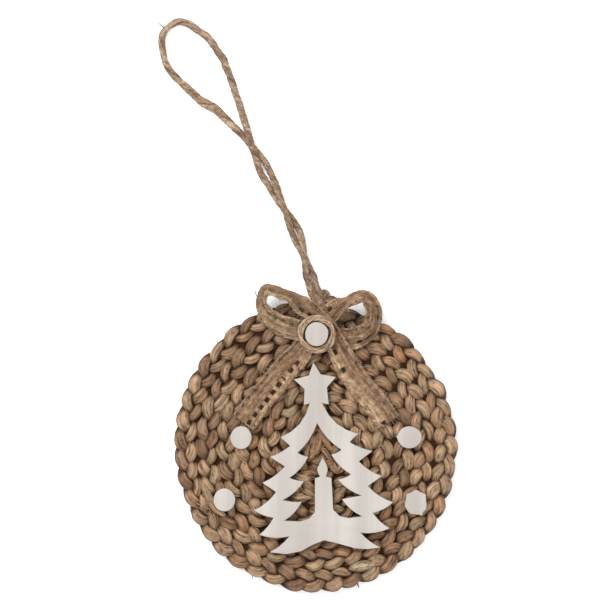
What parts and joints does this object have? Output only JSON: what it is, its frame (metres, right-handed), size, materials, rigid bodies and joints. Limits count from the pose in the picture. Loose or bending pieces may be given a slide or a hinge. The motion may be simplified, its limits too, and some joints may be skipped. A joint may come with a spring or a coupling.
{
  "type": "christmas ornament",
  "caption": "Flat round hanging ornament of coiled plait with a cut-out fir tree, round studs, a ribbon bow and a twine loop.",
  "frame": {"origin": "middle of the disc on its flat back, as the ornament lies on its back", "axes": "+Z out of the decorated front, +Y towards the bow and the hanging knot, +X to the right seen from the front"},
  "size_m": [0.127, 0.2454, 0.0189],
  "materials": {
    "plait": "dry plaited leaf, satin",
    "whitewash": "whitewashed, matte",
    "jute": "loose woven, matte",
    "twine": "twisted fibre, matte"
  },
  "bodies": {
    "root": {"plaited_disc": "plait", "fir_tree": "whitewash", "dot_upper_left": "whitewash", "dot_lower_left": "whitewash", "dot_upper_right": "whitewash", "dot_lower_right": "whitewash", "dot_on_bow": "whitewash", "bow_ribbon": "jute", "twine_ring": "twine", "hanger_knot": "twine", "hanger_loop": "twine"}
  },
  "joints": []
}
